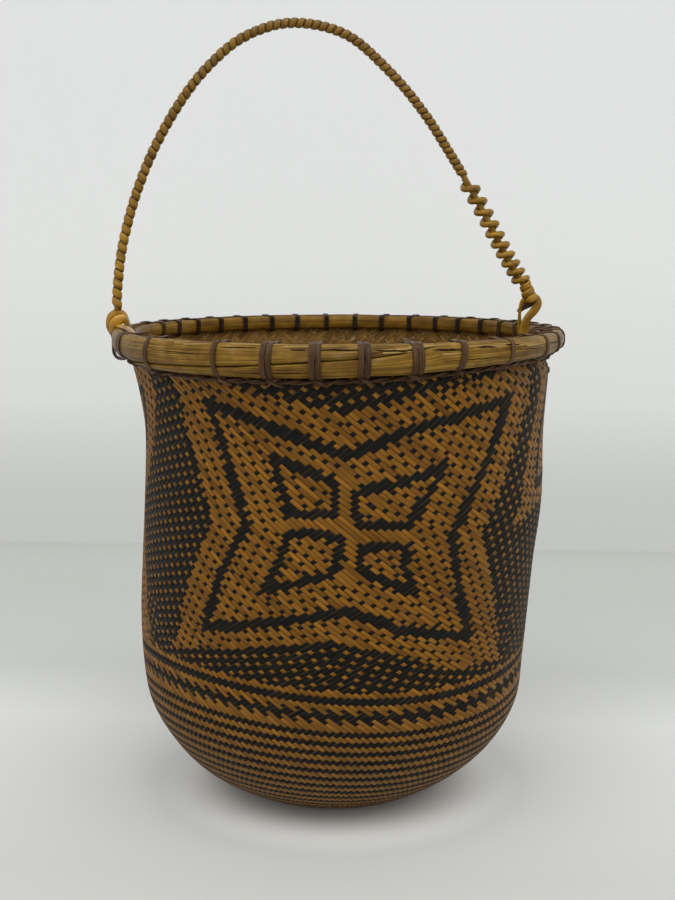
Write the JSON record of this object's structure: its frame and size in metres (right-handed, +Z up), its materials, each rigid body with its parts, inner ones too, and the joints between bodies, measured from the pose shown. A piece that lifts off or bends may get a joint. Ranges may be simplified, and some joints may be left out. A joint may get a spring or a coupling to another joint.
{
  "type": "rattan basket",
  "caption": "Round plaited rattan basket with a split-cane rim bound by dark lashings and a wrapped cane bail handle that swings over the open mouth.",
  "frame": {"origin": "middle of the flat base, on the surface the basket stands on", "axes": "+Z up through the mouth, +X to the right seen from the front, along the handle's span, -Y to the front"},
  "size_m": [0.2359, 0.2318, 0.3966],
  "materials": {
    "plaited_cane": "satin split cane strands, natural and dyed blue-black",
    "folded_strands": "dull strand ends folded over the wall's edge",
    "hoop_cane": "satin split cane with fibrous cut edges",
    "lashing_cane": "dark brown satin cane strips",
    "handle_cane": "golden brown glossy cane",
    "loop_cane": "bright golden glossy cane"
  },
  "bodies": {
    "basket": {"woven_body": "plaited_cane", "rim_fold": "folded_strands", "rim_outer_hoop": "hoop_cane", "rim_inner_hoop": "hoop_cane", "rim_cord": "lashing_cane", "rim_lashing_front_01": "lashing_cane", "rim_lashing_front_02": "lashing_cane", "rim_lashing_front_03": "lashing_cane", "rim_lashing_front_04": "lashing_cane", "rim_lashing_front_05": "lashing_cane", "rim_lashing_front_06": "lashing_cane", "rim_lashing_front_07": "lashing_cane", "rim_lashing_front_08": "lashing_cane", "rim_lashing_front_09": "lashing_cane", "rim_lashing_front_10": "lashing_cane", "rim_lashing_front_11": "lashing_cane", "rim_lashing_back_01": "lashing_cane", "rim_lashing_back_02": "lashing_cane", "rim_lashing_back_03": "lashing_cane", "rim_lashing_back_04": "lashing_cane", "rim_lashing_back_05": "lashing_cane", "rim_lashing_back_06": "lashing_cane", "rim_lashing_back_07": "lashing_cane", "rim_lashing_back_08": "lashing_cane", "rim_lashing_back_09": "lashing_cane", "rim_lashing_back_10": "lashing_cane", "rim_lashing_back_11": "lashing_cane", "rim_lashing_back_12": "lashing_cane", "rim_lashing_back_13": "lashing_cane", "rim_lashing_back_14": "lashing_cane", "rim_lashing_back_15": "lashing_cane", "rim_lashing_back_16": "lashing_cane", "rim_lashing_back_17": "lashing_cane", "rim_lashing_back_18": "lashing_cane", "rim_lashing_back_19": "lashing_cane"},
    "handle": {"handle_core": "handle_cane", "handle_wrap": "handle_cane", "handle_twist": "handle_cane", "handle_left_loop": "loop_cane", "handle_right_eye": "handle_cane"}
  },
  "joints": [
    {"name": "handle_swing", "type": "hinge", "parent": "basket", "child": "handle", "pos_m": [-0.00417, 0, 0.22332], "axis": [0.9997, 0, -0.0262], "range_deg": [-30, 30]}
  ]
}
